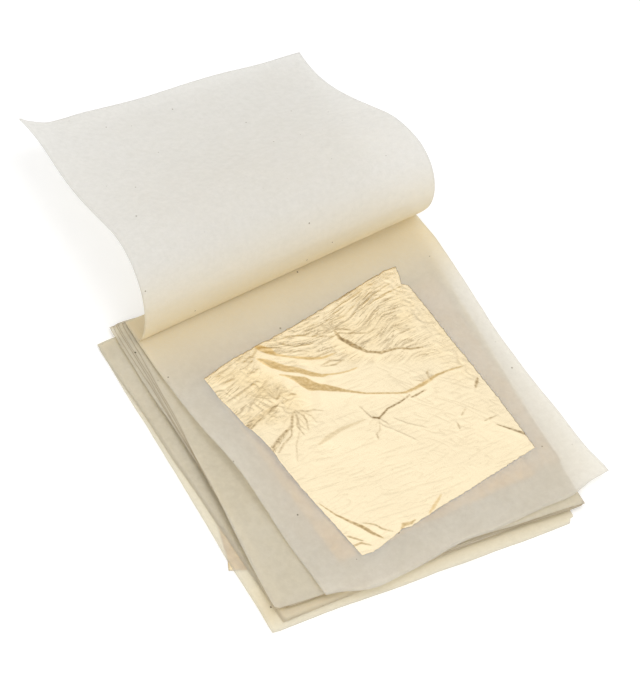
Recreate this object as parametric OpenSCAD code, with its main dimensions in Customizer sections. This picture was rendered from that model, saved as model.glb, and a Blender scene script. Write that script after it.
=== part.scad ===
// Gold leaf booklet: a loose tie of thin tissue sheets with a square of gold leaf on each,
// the top sheet turned back over its far edge so that the first leaf lies open.
// Millimetres, Z up. The origin is on the underside of the lowest leaf, which lies under the
// bottom sheet, and below the middle of the sheet that carries the open leaf. -Y is the near
// edge, +Y the far edge.

/* [Tissue sheets] */
// Side of a tissue sheet
sheet_side = 116; // [100:1:130]
// Thickness of a tissue sheet, thicker than real tissue so that it is a sound solid
sheet_thickness = 0.08; // [0.06:0.01:0.1]
// Corner radius of a cut sheet
sheet_corner = 0.8; // [0.4:0.1:2]
// Corner radius of the bottom sheet's worn near right corner
worn_corner = 4; // [2:0.5:6]

/* [Gold leaves] */
// Side of a gold leaf
leaf_side = 80; // [70:1:82]
// Thickness of a gold leaf, far thicker than real leaf so that it is a sound solid
leaf_thickness = 0.04; // [0.03:0.01:0.06]

/* [Stack] */
// Air between a sheet and the leaf above or below it
air_gap = 0.05; // [0.04:0.01:0.1]
// Extra air below each group of sheets that has slipped on the one under it
slip_gap = 0.5; // [0.2:0.1:1]

/* [Turned-back sheet] */
// Width of the strip that still lies flat behind the fold, at the left edge
strip_left = 8.5; // [6:0.5:10]
// Width of the same strip at the right edge
strip_right = 4.5; // [3:0.5:6]
// Length of the curled part beyond the fold, along the left edge
curl_left = 101.5; // [98:0.5:106]
// Length of the curled part beyond the fold, along the right edge
curl_right = 108.5; // [100:0.5:110]
// How far the middle of the far edge sags below the line between its two corners
far_edge_sag = 4.6; // [0:0.2:5]
// How much further the far edge droops beside its left corner, which stands up as a tip
tip_droop = 5.2; // [0:0.2:6]

/* [Hidden] */

tissue_colour = [0.86, 0.82, 0.73];
gold_colour = [0.93, 0.83, 0.56];

bottom_sheet = 11;
middle_group_end = 7;
open_sheet = 2;
last_leaf = 10;
corner_steps = 4;

// All places below are in millimetres for a booklet of this size, and grow with it
drawn_side = 116;
drawn_leaf = 80;
grow = sheet_side / drawn_side;

// Each flat sheet from number 2 down: middle x, middle y, turn in degrees,
// and what the cut left off its right and near sides
sheet_cuts = [
    [0, 0, 0, 0, 0],
    [-6.9, -4, -5.6, 1.5, 2.5],
    [-7.5, -3.3, -5.2, 1.2, 1.9],
    [-8, -2.8, -4.9, 0.8, 1.2],
    [-8.6, -2.6, -4.7, 0.4, 0.6],
    [-9.6, -2.3, -4.5, 0, 0],
    [-12.5, -2.2, -0.5, 0, 0],
    [-12.7, -2.4, -0.7, 0, 0],
    [-12.9, -2.6, -0.9, 0, 0],
    [-15.6, -6.9, -3.5, 0, 0]
];

// Each covered leaf from number 2 down: middle x, middle y, turn in degrees
leaf_places = [
    [-5, -9, 1],
    [8, -6, -2],
    [-8, -4, -6],
    [-10, 2, -3],
    [-6, -3, -7],
    [-12, 0, -1],
    [-9, -5, -3],
    [-15, -2, -2],
    [-26, -10.5, -18]
];

// The open leaf's torn outline
open_leaf_outline = [
    [-46.5, 28.5], [-41.5, -11], [-36.2, -50.7], [-5, -45.8], [12, -44.4], [41, -39.7],
    [40.2, 0], [39.3, 29.5], [38.6, 33.2], [36.8, 34], [38.2, 37.5], [39.3, 41],
    [5, 36.4], [-20, 32.6]
];

// A leaf and a sheet with the air around them, and the height of the underside of a sheet or
// a leaf. The last leaf lies under the bottom sheet, each other one on the sheet numbered next.
pitch = sheet_thickness + leaf_thickness + 2 * air_gap;
function groups_below(i) = (i <= middle_group_end ? 1 : 0) + (i <= open_sheet ? 1 : 0);
function under_sheet(i) = i == bottom_sheet ? leaf_thickness + air_gap : 0;
function sheet_level(i) =
    (bottom_sheet - i) * pitch + groups_below(i) * slip_gap + under_sheet(i);
function leaf_level(i) =
    i == last_leaf ? 0 : sheet_level(i + 1) + sheet_thickness + air_gap;

// The fold of the turned-back sheet, on top of the open sheet
fold_left = [-58, 50.1] * grow;
fold_right = [58, 56.8] * grow;
fold_level = sheet_level(open_sheet) + sheet_thickness + air_gap + sheet_thickness / 2;

// Heading of the curl at stations beyond the fold: 0 runs to the front, 90 up, 180 to the back
left_headings = [
    [0, 75], [12, 115], [24, 145], [38, 175], [46, 195], [58, 195], [70, 185], [82, 175],
    [94, 190], [108, 200]
];
right_headings = [
    [0, 60], [8, 70], [16, 100], [24, 130], [30, 155], [38, 185], [48, 200], [58, 215],
    [70, 215], [82, 210], [94, 200], [108, 175]
];
left_drift = 1;
right_drift = 1.5;

// Shape of the sag and of the droop beside the tip: share of the width, share of the depth
sag_shape = [[0, 0], [0.45, 1], [0.7, 0.45], [0.86, 0.35], [1, 0]];
droop_shape = [
    [0, 0], [0.03, 0.4], [0.08, 0.85], [0.11, 1], [0.16, 0.9], [0.22, 0.55], [0.3, 0.3],
    [0.45, 0], [1, 0]
];
// Share of the curl's run after which the droop begins
droop_start = 0.62;

// Grid of the curled sheet
strip_rows = 2;
curl_rows = 36;
rows = strip_rows + curl_rows;
columns = 15;

// One edge of the curl as [y, z] rows, walked from the fold along the headings
function curl_edge(start_y, headings, run) =
    let (step = run * grow / curl_rows)
    [
        for (
            j = 0, y = start_y, z = fold_level;
            j <= curl_rows;
            turn = lookup((j + 0.5) * run / curl_rows, headings),
            y = y - step * cos(turn),
            z = z + step * sin(turn),
            j = j + 1
        ) [y, z]
    ];

// The flat strip behind the fold as [y, z] rows, from its far edge up to the fold
function strip_edge(start_y, width) =
    [for (j = [0:strip_rows - 1]) [start_y + width * grow * (1 - j / strip_rows), fold_level]];

left_edge = concat(
    strip_edge(fold_left.y, strip_left),
    curl_edge(fold_left.y, left_headings, curl_left)
);
right_edge = concat(
    strip_edge(fold_right.y, strip_right),
    curl_edge(fold_right.y, right_headings, curl_right)
);

function mix(a, b, u) = a + (b - a) * u;
function along(j) = max(0, j - strip_rows) / curl_rows;
function sag_at(u, s) = far_edge_sag * grow * lookup(u, sag_shape) * s * s;
function droop_at(u, s) =
    let (run = max(0, s - droop_start) / (1 - droop_start))
    tip_droop * grow * lookup(u, droop_shape) * run * run;

// Middle surface of the turned-back sheet at column i and row j
function curl_point(i, j) =
    let (
        u = i / columns,
        s = along(j),
        x_left = fold_left.x + left_drift * grow * s,
        x_right = fold_right.x + right_drift * grow * s,
        edge = mix(left_edge[j], right_edge[j], u)
    )
    [mix(x_left, x_right, u), edge.x, edge.y - sag_at(u, s) - droop_at(u, s)];

function unit(v) = v / norm(v);
function curl_normal(i, j) =
    let (
        across = curl_point(min(i + 1, columns), j) - curl_point(max(i - 1, 0), j),
        down = curl_point(i, min(j + 1, rows)) - curl_point(i, max(j - 1, 0))
    )
    unit(cross(down, across));

function grid_index(i, j) = j * (columns + 1) + i;
function two_triangles(a, b, c, d) = [[a, b, c], [a, c, d]];

module place_flat(place, level) {
    translate([place[0] * grow, place[1] * grow, level])
        rotate([0, 0, place[2]])
            children();
}

// One rounded corner of a cut sheet, as points of its arc
function corner_arc(x, y, radius, start) = [
    for (k = [0:corner_steps])
        [x, y] + radius * [cos(start + 90 * k / corner_steps), sin(start + 90 * k / corner_steps)]
];

module cut_sheet(trim_right, trim_near, near_right_corner) {
    half = sheet_side / 2;
    left = -half + sheet_corner;
    right = half - trim_right * grow - sheet_corner;
    near = -half + trim_near * grow + sheet_corner;
    far = half - sheet_corner;
    extra = near_right_corner - sheet_corner;
    linear_extrude(sheet_thickness)
        polygon(concat(
            corner_arc(right, far, sheet_corner, 0),
            corner_arc(left, far, sheet_corner, 90),
            corner_arc(left, near, sheet_corner, 180),
            corner_arc(right - extra, near + extra, near_right_corner, 270)
        ));
}

module tissue(i) {
    cut = sheet_cuts[i - open_sheet];
    color(tissue_colour)
        place_flat(cut, sheet_level(i))
            cut_sheet(cut[3], cut[4], i == bottom_sheet ? worn_corner : sheet_corner);
}

module tissue_turned_back() {
    half = sheet_thickness / 2;
    upper = [
        for (j = [0:rows]) for (i = [0:columns]) curl_point(i, j) + half * curl_normal(i, j)
    ];
    lower = [
        for (j = [0:rows]) for (i = [0:columns]) curl_point(i, j) - half * curl_normal(i, j)
    ];
    below = len(upper);
    upper_faces = [
        for (j = [0:rows - 1]) for (i = [0:columns - 1])
            each two_triangles(
                grid_index(i, j), grid_index(i + 1, j),
                grid_index(i + 1, j + 1), grid_index(i, j + 1)
            )
    ];
    lower_faces = [for (f = upper_faces) [f[2] + below, f[1] + below, f[0] + below]];
    rim = concat(
        [for (i = [0:columns - 1]) grid_index(i, 0)],
        [for (j = [0:rows - 1]) grid_index(columns, j)],
        [for (i = [columns:-1:1]) grid_index(i, rows)],
        [for (j = [rows:-1:1]) grid_index(0, j)]
    );
    rim_faces = [
        for (k = [0:len(rim) - 1])
            let (a = rim[k], b = rim[(k + 1) % len(rim)])
            each two_triangles(b, a, a + below, b + below)
    ];
    color(tissue_colour)
        polyhedron(concat(upper, lower), concat(upper_faces, lower_faces, rim_faces));
}

module gold_leaf_open() {
    color(gold_colour)
        translate([0, 0, leaf_level(1)])
            linear_extrude(leaf_thickness)
                scale(leaf_side / drawn_leaf)
                    polygon(open_leaf_outline);
}

module gold_leaf_covered(i) {
    color(gold_colour)
        place_flat(leaf_places[i - open_sheet], leaf_level(i))
            translate([-leaf_side / 2, -leaf_side / 2, 0])
                cube([leaf_side, leaf_side, leaf_thickness]);
}

function numbered(name, i) = str(name, i < 10 ? "0" : "", i);

tissue_turned_back();  // tissue_01_turned_back
for (i = [open_sheet:bottom_sheet])
    tissue(i);
gold_leaf_open();  // gold_leaf_01
for (i = [open_sheet:last_leaf])
    gold_leaf_covered(i);
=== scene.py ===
"""A booklet of gold leaf: ten leaves between eleven loose tissues, the top tissue rolled back.

Lengths are in millimetres until a mesh is made, and metres in the meshes. The frame is the
part's own: the stack lies on Z 0, the roll is at the far end (+Y), the near edge at -Y.
"""

import math

import bpy
import numpy as np
from mathutils import Euler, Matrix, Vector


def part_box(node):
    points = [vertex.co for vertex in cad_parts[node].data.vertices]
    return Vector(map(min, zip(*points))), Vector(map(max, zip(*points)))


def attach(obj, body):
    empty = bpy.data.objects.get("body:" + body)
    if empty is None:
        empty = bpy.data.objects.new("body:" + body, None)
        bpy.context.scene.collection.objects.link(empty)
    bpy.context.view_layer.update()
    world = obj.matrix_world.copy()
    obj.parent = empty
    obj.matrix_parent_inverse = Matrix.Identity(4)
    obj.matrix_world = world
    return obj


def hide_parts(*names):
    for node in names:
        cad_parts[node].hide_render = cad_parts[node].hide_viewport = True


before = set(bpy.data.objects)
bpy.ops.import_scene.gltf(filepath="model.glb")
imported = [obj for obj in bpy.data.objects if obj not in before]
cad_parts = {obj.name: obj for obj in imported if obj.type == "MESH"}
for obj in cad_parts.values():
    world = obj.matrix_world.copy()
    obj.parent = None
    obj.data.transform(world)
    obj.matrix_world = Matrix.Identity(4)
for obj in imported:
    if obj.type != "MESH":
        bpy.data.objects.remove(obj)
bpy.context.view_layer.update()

MM = 0.001

# Camera: where the photograph was taken from
CAMERA_PLACE = (-0.67868, -0.53487, 1.09158)
CAMERA_TURN = (36.8848, -13.2053, -33.4577)  # degrees about X, Y and Z
CAMERA_LENS = 222.87  # for a 36 mm sensor along the picture's long side

# Tissues 02 to 11: X, Y and turn in degrees of the middle, then what is trimmed from the right
# and near edges, as in the part
SHEET_CUTS = {
    2: (0, 0, 0, 0, 0),
    3: (-6.9, -4, -5.6, 1.5, 2.5),
    4: (-7.5, -3.3, -5.2, 1.2, 1.9),
    5: (-8, -2.8, -4.9, 0.8, 1.2),
    6: (-8.6, -2.6, -4.7, 0.4, 0.6),
    7: (-9.6, -2.3, -4.5, 0, 0),
    8: (-12.5, -2.2, -0.5, 0, 0),
    9: (-12.7, -2.4, -0.7, 0, 0),
    10: (-12.9, -2.6, -0.9, 0, 0),
    11: (-15.6, -6.9, -3.5, 0, 0),
}
OPEN_SHEET = 2
BOTTOM_SHEET = 11
SHEET_BODIES = {number: f"sheet_{number:02d}" for number in range(OPEN_SHEET, BOTTOM_SHEET)}
SHEET_BODIES[BOTTOM_SHEET] = "bottom_sheet"
HALF_SIDE = 58.0  # half of a tissue's side
SHEET_THICKNESS = 0.04
SHEET_CELLS = 84
SHEET_STRIDE = (137.0, 59.0)  # how far apart two tissues' textures are taken
SHEET_RIPPLE = (0.015, 9, 8)  # height, and length along X and Y
STACK_WAVE = (0.14, 31, 27)  # the same for slow waves, highest in the open tissue
WAVES_END_AT = (32, 52)  # from full to none towards the far edge
SLOW_WOBBLE = (0.35, 21)  # how far a cut edge strays, and over what length
FINE_WOBBLE = (0.06, 3.1)
CORNER_ROUND = 0.15  # how much of each corner is worn off
CORNER_REACH = 3.0
WORN_CORNER = 2.0  # the same for the bottom sheet's near right corner

# How far each edge of the open tissue lies outside (+) its square, at places along the edge
OPEN_LEFT = (
    (-58, -2.3), (-45, -2.7), (-30, -2.3), (-15, -1.9), (1, -0.8), (13, 0.3), (27, 0.9), (58, 0),
)
OPEN_RIGHT = (
    (-58, 0.3), (-46, -1.1), (-31, -1.5), (-2, -1.8), (17, -0.9), (36, 0.6), (46, 1), (58, 0.3),
)
OPEN_NEAR = (
    (-58, 0.4), (-55, 0.8), (-42, 4.5), (-28, 4.3), (-5, 2.5), (10, 3.2), (28, 2.9), (43, 2.4),
    (48, 1), (58, 0),
)

# The same for the middle group: the left edges of its top and its bottom tissue, so that the
# strips between them narrow, and the top one's near edge, so that it covers the near left corner
MIDDLE_GROUP = (3, 7)
TOP_LEFT = ((-58, 2.3), (-40, 2.4), (-20, 1.5), (0, 1), (24, -0.1), (58, 0))
BOTTOM_LEFT = ((-58, -3.6), (-20, -2.4), (3, -1.6), (15, -1.1), (33, -0.3), (58, 0.2))
TOP_NEAR = ((-58, 2.4), (-40, 2.3), (-20, 0.8), (0, 0), (58, 0))

# Air under a tissue along one of its edges: tissue, side, heights at places along the edge, and
# how far in the air reaches. Everything above that tissue rises with it.
EDGE_AIR = (
    (2, "left", (
        (-58, 0.5), (-45, 0.1), (-36, 0.2), (-28, 1), (-10, 3), (1, 2.8), (13, 2), (27, 1), (46, 0),
    ), 34),
    (2, "near", ((-58, 0.3), (-40, 0.25), (-20, 0.05), (10, 0.1), (40, 0.1), (58, 0.5)), 22),
    (7, "left", ((-58, 0.2), (-30, 0.7), (-5, 1), (20, 0.6), (45, 0)), 13),
    (7, "near", ((-58, 0.05), (-20, 0.2), (20, 0.3), (50, 0.2), (58, 0.1)), 16),
)
AIR_ENDS_AT = (34, 48)  # the air is gone before the fold

# The rolled-back tissue: its two side edges run back from the fold, at headings in degrees
# (0 near, 90 up, 180 far) at distances along them, for the length of CURL
FOLD_LEFT = (-58, 50.1)
FOLD_RIGHT = (58, 56.8)
FOLD_LEVEL = 3.15
STRIP = (8.5, 4.5)  # what stays flat behind the fold, at the left and right
CURL = (101.5, 108.5)
DRIFT = (1, 1.5)
LEFT_HEADINGS = (
    (0, 75), (12, 115), (24, 145), (38, 175), (46, 195), (58, 195), (70, 185), (82, 175),
    (94, 190), (108, 200),
)
RIGHT_HEADINGS = (
    (0, 60), (8, 70), (16, 100), (24, 130), (30, 155), (38, 185), (48, 200), (58, 215),
    (70, 215), (82, 210), (94, 200), (108, 175),
)
# How far the far edge hangs below a straight line between its two corners, at shares of its
# width, and how much further it droops beside the left corner
FAR_SAG = ((0, 0), (0.45, 4.6), (0.7, 2.2), (0.86, 1.6), (1, 0))
FAR_DROOP = (
    (0, 0), (0.03, 2), (0.075, 4.2), (0.106, 5.2), (0.155, 4.6), (0.22, 2.9), (0.3, 1.6),
    (0.45, 0), (1, 0),
)
DROOP_START = 0.62
ROLL_RIPPLE = 0.3
ROLL_CELLS = (100, 120, 8)  # across, along the curl, and along the flat strip

# The open gold leaf's edges
LEAF_LEFT = (
    (-46.4, 28.6), (-46, 19.1), (-45, 14), (-44.2, 7.4), (-42.2, 2), (-41.2, -5), (-41.2, -10.6),
    (-40.2, -20.4), (-38.7, -30.8), (-37.5, -39.7), (-36.2, -50.7),
)
LEAF_NEAR = (
    (-36.2, -50.7), (-31.7, -51), (-24.3, -49.4), (-17.6, -47.6), (-14.9, -48.2), (-10.4, -47.2),
    (-6, -46.8), (-2.6, -46), (11.2, -44.2), (24.7, -42.2), (40.9, -39.8),
)
LEAF_RIGHT = (
    (39.2, 41.1), (38.2, 37.5), (36.9, 34.2), (38.7, 33), (39, 29.7), (39.5, 17.8), (39.6, 8.8),
    (40.2, 0.1), (40.4, -7.9), (40.9, -19.1), (40.9, -30.9), (40.9, -39.8),
)
LEAF_FAR = (
    (-46.4, 28.6), (-34.3, 31.3), (-23, 32.8), (-17.1, 33.3), (-4, 35), (9.5, 37.1), (23.4, 39.6),
    (34.6, 41.2), (39.2, 41.1),
)
LEAF_SIDE = 80
LEAF_THICKNESS = 0.02
LEAF_CELLS = 214
LEAF_CELL = LEAF_SIDE / LEAF_CELLS
SLOW_TEAR = (0.22, 6.2)  # how far a torn edge strays in millimetres, and over how many cells
FINE_TEAR = (0.14, 2.4)
LEAF_BILLOW = (0.2, 19, 17)  # height, and length along X and Y
BILLOW_REACH = 7  # from the leaf's edge to the full billow
DEEPEST = 0.15  # the deepest a crease may dip
LEAF_GAP = 0.02  # between the open leaf and its tissue
COVERED_CELLS = 60
COVERED_WOBBLE = (0.3, 5)  # how far a covered leaf's edges stray, and over what length
COVERED_CRINKLE = (0.012, 5, 4)  # height, and length along X and Y
COVERED_LINE = (0.35, 4, 3, 0.4)  # its creases' painted shade, length along X and Y, and width
# Painted tan shade over a covered leaf
COVERED_TAN = 0.3
FLOOR_GAP = 0.02  # under the last leaf

# The covered leaves 02 to 10: X, Y and turn in degrees of the middle, as in the part
LEAF_PLACES = {
    2: (-5, -9, 1), 3: (8, -6, -2), 4: (-8, -4, -6), 5: (-10, 2, -3), 6: (-6, -3, -7),
    7: (-12, 0, -1), 8: (-9, -5, -3), 9: (-15, -2, -2), 10: (-26, -10.5, -18),
}
LEAF_BODIES = {
    2: "leaf_02", 3: "sheet_04", 4: "sheet_05", 5: "sheet_06", 6: "sheet_07", 7: "leaf_07",
    8: "sheet_09", 9: "sheet_10", 10: "bottom_sheet",
}
LAST_LEAF = 10
PEEK = (-76.4, -36.2)  # where the last leaf's corner shows, pale and flat, without painted shade
PEEK_REACH = 4.0
PEEK_OUT = 0.8  # how far it is drawn out there

# Folds of the open leaf. Each is a list of (x, y, width of its far face) along the fold, with
# the far face on the left, then how much painted tan and dark shade that face gets.
FOLDS = (
    (((-23.5, 33, 0.6), (-22.5, 31.5, 2.4), (-20.5, 29, 2.8), (-19, 27, 1), (-15.5, 24.5, 0.5),
      (-9.5, 21, 1.1), (-5.5, 19.5, 0.8), (0, 19.5, 0.3)), 1, 0.1),
    (((-26, 28, 0.4), (-24.5, 26, 1.8), (-22.5, 24, 2.9), (-19.5, 21, 2.5), (-15.5, 18.5, 2.1),
      (-12.5, 15.5, 1.8), (-9.5, 13.5, 1.2), (-7, 13, 0.5), (-3.5, 12, 0.5), (0, 11.5, 0.4),
      (3, 11.5, 0.4)), 1, 0.12),
    (((-22.5, 19.5, 0.3), (-20.5, 18, 0.7), (-18.5, 16, 1.8), (-17, 14, 3.6), (-15.5, 11.5, 3.8),
      (-13, 10, 2.5), (-10.5, 8.5, 2.4), (-8, 7, 1.7), (-5, 5, 0.9), (0.5, 1.5, 0.5),
      (11, -3, 0.5), (13, -3.5, 0.7), (17, -3.5, 1), (21.5, -3, 1.1), (26.5, -2, 0.8),
      (31, -2, 0.5), (36.5, -2.5, 0.4)), 1, 0.3),
    (((-3, -7.5, 0.5), (-1.5, -8.5, 0.7), (0, -8, 0.45), (3.5, -6.5, 0.45), (9, -6, 0.5),
      (13.5, -5, 0.3)), 0.3, 1.2),
    (((13.5, -6, 0.3), (14.5, -6, 0.5), (19.5, -5.5, 0.4)), 0.3, 0.9),
    (((-4.5, -2, 0.3), (-4, -4.5, 0.4), (-3.5, -7.5, 0.5)), 0.1, 0.6),
    (((-2, -9.5, 0.3), (-3.5, -12.5, 0.3), (-5.5, -13.5, 0.5), (-6, -15, 0.4)), 0.1, 0.5),
    (((4.5, 27.5, 0.4), (4.5, 24, 1.2), (6, 21.5, 1.7), (7, 19.5, 1.7), (8.5, 17.5, 1.3),
      (10, 15.5, 0.9), (13.5, 13.5, 0.9), (16.5, 13, 0.7), (20.5, 12.5, 0.5), (24.5, 10.5, 0.6),
      (28.5, 9.5, 0.4)), 0.6, 0.7),
    (((-3.5, 28, 0.3), (-0.5, 27, 0.6), (3, 25.5, 0.4)), 0.2, 0.4),
    (((4.5, 27.5, 0.4), (7.5, 26.5, 0.6), (11, 24.5, 0.3)), 0.2, 0.45),
    (((5, 26, 0.4), (8, 24.5, 0.6), (14, 22, 0.4), (19, 22, 0.3)), 0.2, 0.45),
    (((-25.5, -9, 0.6), (-21.5, -8, 1.6), (-15.5, -7, 1.2), (-6, -7, 0.4)), 0.25, 0.1),
    (((-38, -28.5, 0.3), (-35.5, -34, 0.5), (-32.5, -38.5, 0.8), (-30, -42, 1.2),
      (-28.5, -45, 1.1), (-26, -48, 0.3)), 0.8, 0.55),
    (((-29, -40.5, 0.3), (-26, -42.5, 0.5), (-24.5, -45, 0.6), (-22, -47, 0.3)), 0.5, 0.5),
    (((-36.5, -42.5, 0.4), (-35, -44, 0.7), (-33, -46, 0.4)), 0.5, 0.5),
    (((-36.5, -46.5, 0.5), (-34, -46.5, 0.7), (-31.5, -48.5, 0.4)), 0.5, 0.5),
    (((-18.5, -47.5, 0.4), (-17, -46.5, 1.1), (-14.5, -47, 0.8), (-12.5, -46.5, 0.3)), 0.8, 0.5),
    (((-7, -46.5, 0.3), (-4, -45, 1), (-1.5, -43.5, 0.8), (1, -42, 0.3)), 0.7, 0.15),
    (((34, -27, 0.3), (37, -30, 0.5), (39.5, -32.5, 0.8), (41, -34, 0.8)), 0.3, 0.9),
    (((31, -24, 0.3), (33.5, -24, 0.6), (36, -24, 0.3)), 0.2, 0.5),
    (((39, -8.5, 0.4), (37.5, -10, 1), (36, -11.5, 0.6)), 0.4, 0.7),
    (((25, 1, 0.3), (24, 0, 0.6), (23.5, -1.5, 0.7)), 0.3, 0.6),
    (((27.5, -17.5, 0.4), (25, -19, 0.4)), 0.2, 0.5),
    (((22, -21, 0.4), (21.5, -23, 0.5)), 0.2, 0.5),
    (((3.5, -10.5, 0.3), (6.5, -14, 0.4), (11.5, -18, 0.3)), 0, 0.4),
    (((-1, -12, 0.3), (3, -17, 0.4), (5.5, -20.5, 0.3)), 0, 0.4),
    (((-29.5, 13.5, 0.4), (-28.5, 12, 0.9), (-27, 12.5, 0.5)), 0.4, 0.5),
    (((-24.5, 11.5, 0.4), (-23, 11.5, 0.8), (-22, 10.5, 0.4)), 0.4, 0.45),
    (((-16.5, 32, 0.3), (-14, 29, 0.7), (-10.5, 27, 0.6), (-9, 26.5, 0.3)), 0.2, 0.45),
    (((-18, 27, 0.3), (-14, 26, 0.5), (-10, 24.5, 0.5), (-8, 23.5, 0.3)), 0.2, 0.45),
    (((-13, 32.5, 0.3), (-8, 30.5, 0.4), (-4.5, 28.5, 0.3)), 0.2, 0.45),
    (((-7.5, 17, 0.3), (-3.5, 17.5, 0.6), (-0.5, 16.5, 0.5)), 0.3, 0.45),
    (((-7, 16.5, 0.3), (-3, 15.5, 0.6), (1, 16, 0.4)), 0.3, 0.45),
    (((-26, 5.3, 0.4), (-28, 3.4, 0.7), (-30, 0.6, 0.9), (-33.5, -0.4, 0.6), (-36.9, -2, 0.8),
      (-40.3, -3.8, 0.6)), 0.2, 0.75),
    (((-30, 0.6, 0.5), (-32, -2.4, 0.4), (-36, -4, 0.6), (-39.8, -6.4, 0.4)), 0.2, 0.6),
    (((-26, 5.3, 0.4), (-26.4, 2.4, 0.7), (-28.2, 0, 0.5), (-28, -3.8, 0.3)), 0.1, 0.6),
    (((-25.5, 5.5, 0.4), (-24, 2.9, 0.7), (-24.2, 0.4, 0.5), (-25.6, -2.6, 0.3)), 0.1, 0.65),
    (((-24.8, 5.2, 0.3), (-22.6, 3.6, 0.6), (-19.6, 3.2, 0.4), (-17, 1.8, 0.3)), 0.1, 0.5),
    (((-24, 4.2, 0.3), (-21.6, 1.4, 0.5), (-21.4, -1, 0.3)), 0.1, 0.45),
    (((-28.2, -1.6, 0.3), (-32.6, -6.1, 0.4), (-35.7, -11.5, 0.3)), 0.1, 0.4),
)
FOLD_RISE = 0.25  # height of a fold, as a share of its width
FACE_WIDTH = 1.2  # how much wider a far face is than its listed width
SLOPE_LENGTH = 1.7  # length of the near slope, in widths of the far face
FACE_RIM = 0.3  # over what length a face's painted shade fades at its rims
THIN_FOLD = 0.45  # faces narrower than this look fainter

# Two wedges of close creases that run in from the left edge, each a list of (x, y, width)
# Painted dark and tan shade over the wedges
WEDGE_DARK = 0.22
WEDGE_TAN = 0.22
WEDGES = (
    ((-43.5, 6, 2), (-39.5, 7.5, 1.9), (-36, 8.5, 1.5), (-32, 9.5, 1.1), (-29, 10, 0.8),
     (-24.5, 10, 0.4)),
    ((-41.5, -5, 1.8), (-40, -4, 1.9), (-36.5, -2, 1.6), (-33, -0.5, 1.1), (-29.5, 1.5, 0.5)),
)

# Knots that fine creases run out from: x, y, first and last heading in degrees, how many
# creases, and the longest
KNOTS = (
    (-28.4, 12.2, 12, 160, 16, 13),
    (-26, 5.3, 190, 335, 9, 9),
    (-2.1, -8.4, 100, 330, 7, 6),
    (3.8, 27.8, -60, 200, 12, 9),
    (-26.1, 28, 150, 330, 9, 8),
    (22, -3, 20, 150, 8, 7),
)
# Places along such a crease: share of its length, share of its bend, and width
KNOT_CREASE = ((0.08, 0, 0.2), (0.3, 0, 0.36), (0.65, 0.4, 0.26), (1, 1, 0.03))
KNOT_RISE = 0.45
KNOT_SHADE = 0.8

# Fine creases of the open leaf, one row a layer: heading in degrees, length and spacing,
# bend (how fast the heading turns with X), depth, and how dark their painted shade is
CREASES = {
    "arcs": (0, 19, 1.7, 0.009, 0.28, 0.68),
    "close_arcs": (2, 13, 1.15, 0.009, 0.16, 0.36),
    "fine_arcs": (-5, 8, 0.9, 0.008, 0.05, 0.16),
    "lower": (-4, 26, 2.6, 0, 0.05, 0.16),
    "fine_lower": (8, 14, 1.7, 0, 0.03, 0.1),
    "slanted": (-50, 10, 1.9, 0, 0.04, 0.22),
    "corner": (16, 14, 2.4, 0, 0.3, 0.6),
    "crumple": (-30, 4, 2.6, 0, 0.25, 0.3),
    "hatch": (22, 9, 1.0, 0, 0.14, 0.95),
    "steep_hatch": (48, 9, 1.0, 0, 0.14, 0.95),
}

# Where those layers come in: X or Y from none to full
BEYOND_FOLD = (11, 0.37, 9)  # past the third fold: Y at X 0, its fall with X, and length
FAR_LEFT = ((-28, -20), (2, 10))  # X from full to none, then Y
FAR_RIGHT = ((27, 36), (-12, 0))
ARCS_FROM = (-27, -17)
FINE_ARCS_FROM = (-20, -6)
SLANTED = ((2, 14), (-36, -24))
KNOT_REACH = 8  # how far the two left knots crumple the leaf
CRUMPLED = (0.1, 0.8, 0.7, 0.3)  # anywhere, at the far right, the knots and the far left

# How far the creases wander, over what length, and X between which the arcs bend
WANDER = 0.6
WANDER_LENGTH = 9
ARC_ENDS = (-30, 24)
CREASE_WIDTH = 0.36
CREASE_LINE = 0.24  # the painted shade line along a crease is narrower
CREASE_BREAKS = (7, 2.5)  # length along and across over which a crease comes and goes
FACE_MOTTLE = (1.1, 0.8)  # the same for the mottled painted shade of the folds' faces
CRINKLE_WARM_SHADE = 0.55  # how much painted warm shade the gold gets where it is crinkled

# Finer lines of painted shade drawn by the gold's material: strength attribute, heading in
# degrees, length, spacing, how wide a line is as a share of the noise's range, and how dark it is
HAIRLINES = (
    ("arcs", 0, 9, 0.75, 0.035, 0.65),
    ("corner", 16, 9, 1.2, 0.035, 0.5),
    ("crumple", -35, 2.4, 1.3, 0.03, 0.4),
    ("smooth", -4, 14, 1.7, 0.012, 0.18),
    ("hatch", 24, 7, 0.45, 0.07, 0.85),
    ("steep_hatch", 36, 6, 0.45, 0.07, 0.85),
)

KEY_LIGHT = ((0.1, -0.1, 1.8), 1.0, 7.0)  # place and side in metres, and watts
SOFT_LIGHT = 0.78  # the world's level for soft light
NEAR_SIDE = (-0.77, -0.64, 0)  # towards the camera, level with the floor
# What metal shows of the world, by height and by nearness to the camera: from and to, then the
# level from and to
SHOWN_HIGH = (0.05, 1.05, 0.62, 1.14)
SHOWN_NEAR = (0.1, 0.9, 1.0, 0.86)
FLOOR_REACH = 3.0  # metres
FLOOR_TONE = (0.9, 0.9, 0.9, 1)
FLOOR_LEVEL = -0.2
FLOOR_LIFT = 0.24  # what the camera sees added to the floor, so that it is white

# A tissue's noises: scale, detail and roughness
CLOUD = (0.055, 4, 0.6)
MOTTLE = (0.45, 4, 0.65)
GRAIN = (1.6, 3, 0.7)
PAPER_BUMP = {"Strength": 0.35, "Distance": 0.00012}  # metres
PAPER_SURFACE = {"Roughness": 0.62, "Specular IOR Level": 0.25}
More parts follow.
